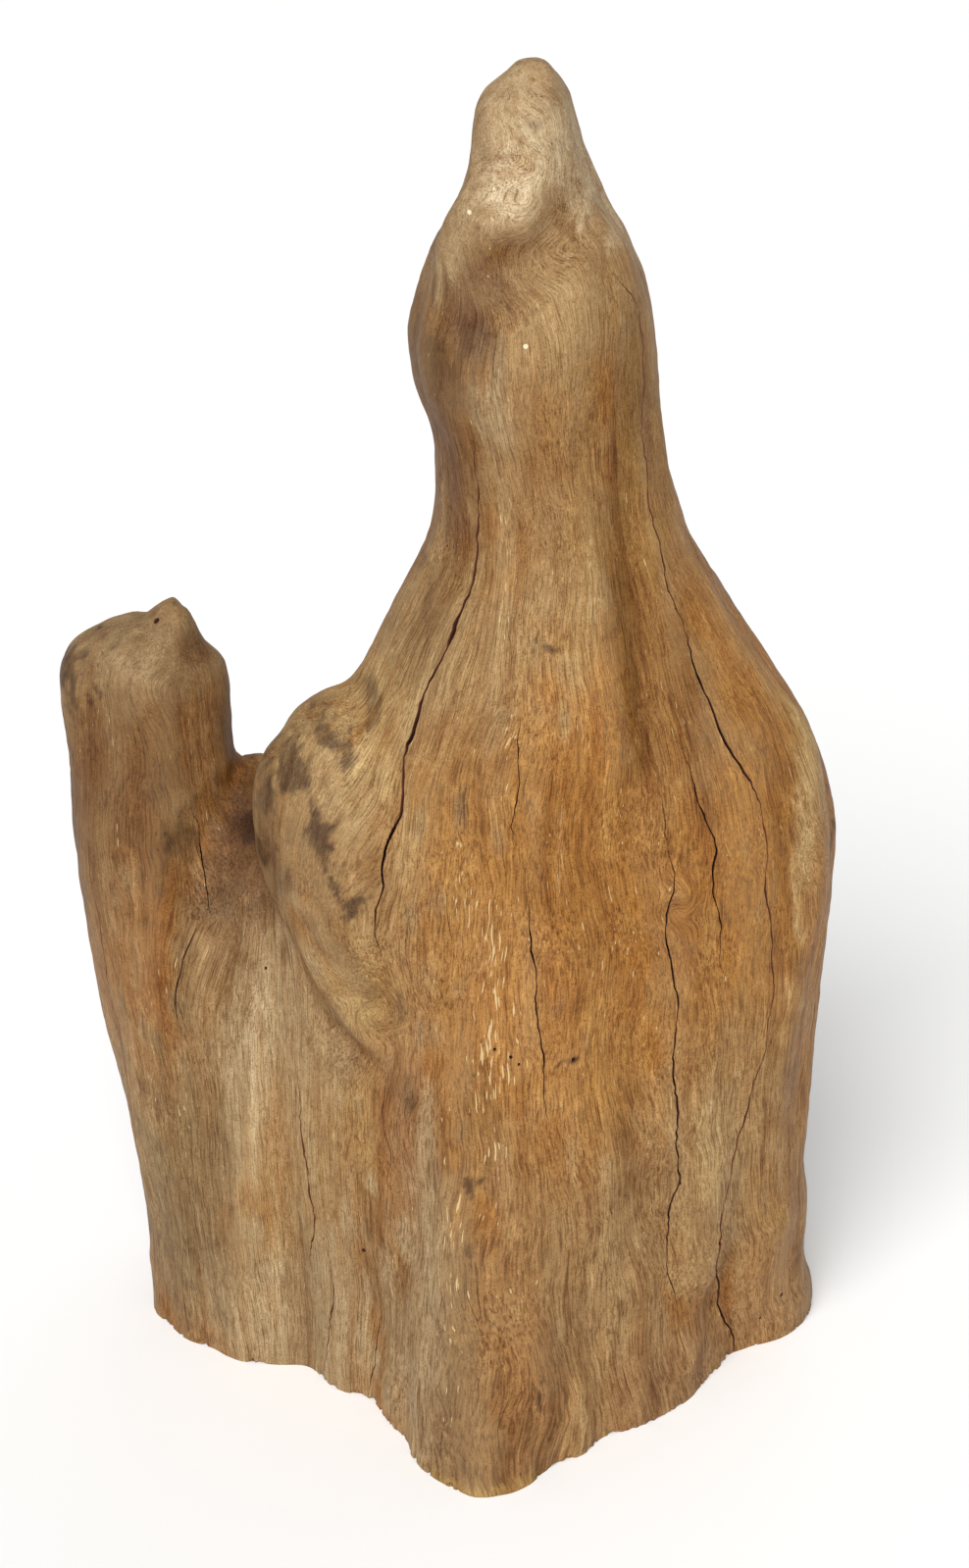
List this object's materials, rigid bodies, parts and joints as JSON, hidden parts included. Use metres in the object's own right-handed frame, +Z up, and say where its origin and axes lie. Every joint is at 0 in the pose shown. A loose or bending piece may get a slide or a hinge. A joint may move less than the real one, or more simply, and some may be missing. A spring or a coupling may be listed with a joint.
{
  "type": "cypress knee",
  "caption": "Natural cypress knee: a tall fused root spire with a knobbed head, a swollen shoulder, a lower side knee and drying cracks, sawn flat at the base.",
  "frame": {"origin": "On the sawn base, at the middle of the bounding box", "axes": "+Z up along the grain, -Y towards the front face with the shoulder, -X towards the side knee"},
  "size_m": [0.4022, 0.3132, 0.6984],
  "materials": {
    "wood": "peeled and weathered wood, satin"
  },
  "bodies": {
    "root": {"cypress_knee": "wood"}
  },
  "joints": []
}
